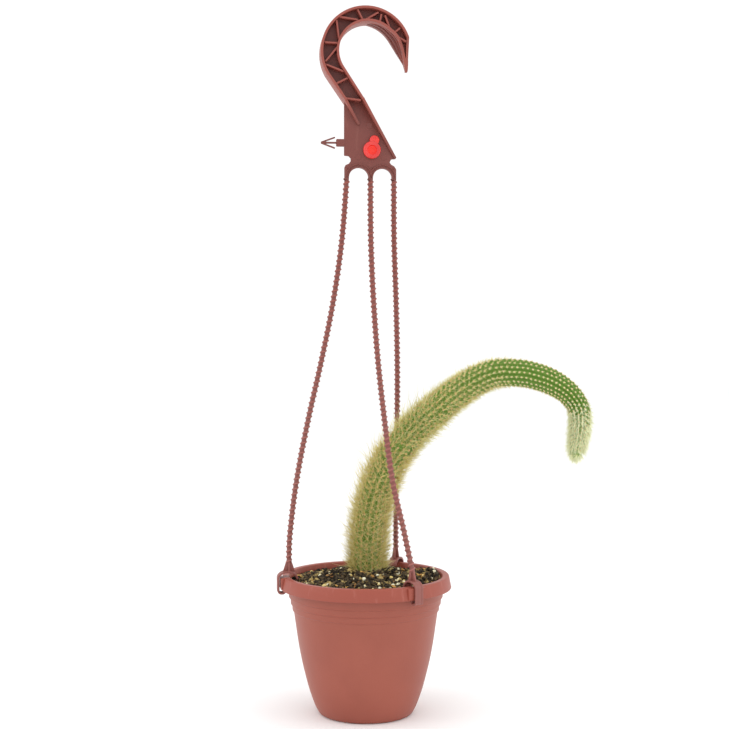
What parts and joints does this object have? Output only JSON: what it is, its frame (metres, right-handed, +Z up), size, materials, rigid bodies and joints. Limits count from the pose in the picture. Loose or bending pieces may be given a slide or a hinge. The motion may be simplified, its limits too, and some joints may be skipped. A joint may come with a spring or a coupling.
{
  "type": "potted monkey tail cactus in a hanging pot",
  "caption": "Furry arching cactus stem in a small plastic hanging pot, with a moulded strand hanger and a hook above.",
  "frame": {"origin": "where the top of the hook's inner arc bears on a rail, right above the pot's axis", "axes": "+Z up, +X to the viewer's right in the picture, the way the stem arches, +Y away from the viewer"},
  "size_m": [0.2363, 0.127, 0.522],
  "materials": {
    "pot_plastic": "satin",
    "potting_mix": "matte",
    "cactus_skin": "matte",
    "hanger_plastic": "satin",
    "red_plastic": "satin"
  },
  "bodies": {
    "root": {"pot": "pot_plastic", "potting_mix": "potting_mix", "cactus_stem": "cactus_skin", "hook_plate": "hanger_plastic", "strand_left": "hanger_plastic", "strand_front": "hanger_plastic", "strand_rear": "hanger_plastic", "clip_left": "hanger_plastic", "clip_front": "hanger_plastic", "clip_rear": "hanger_plastic", "red_plug": "red_plastic"}
  },
  "joints": []
}
